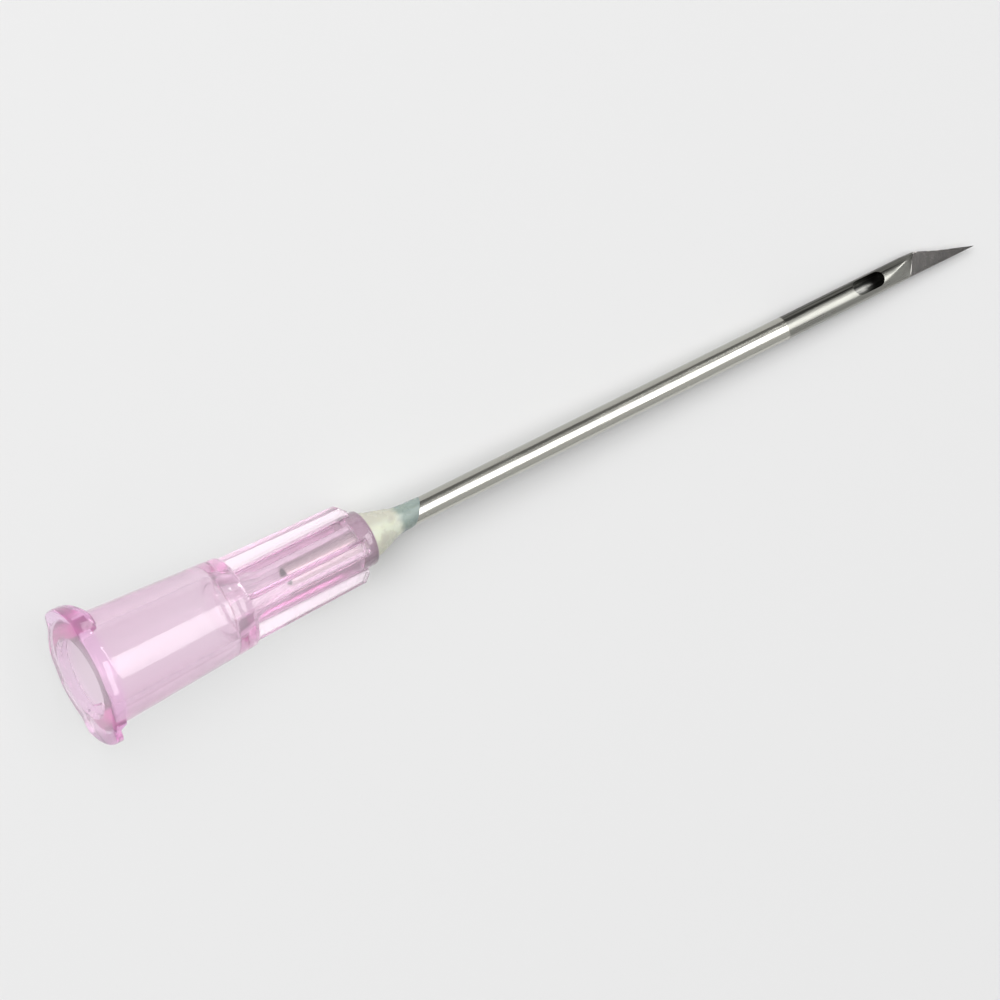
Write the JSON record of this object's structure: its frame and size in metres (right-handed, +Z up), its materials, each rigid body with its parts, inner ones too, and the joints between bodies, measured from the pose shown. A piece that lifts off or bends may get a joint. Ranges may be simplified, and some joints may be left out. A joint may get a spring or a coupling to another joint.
{
  "type": "vented needle",
  "caption": "Vented hypodermic needle: finned translucent hub with a female Luer lock socket, adhesive bead, and a steel tube with a closed knife point and a side port.",
  "frame": {"origin": "centre of the footprint, on the surface that the needle lies on", "axes": "+X from the hub towards the point, +Y across the lugs, +Z up; the needle's own axis falls about 2.9 degrees towards the point"},
  "size_m": [0.0563, 0.0078, 0.0064],
  "materials": {
    "hub_plastic": "translucent pink moulded polypropylene, smooth",
    "cannula_steel": "drawn and polished stainless tube, ground at the point",
    "adhesive": "cured cream adhesive, thin film going grey-green"
  },
  "bodies": {
    "root": {"hub": "hub_plastic", "cannula": "cannula_steel", "epoxy_bead": "adhesive"}
  },
  "joints": []
}
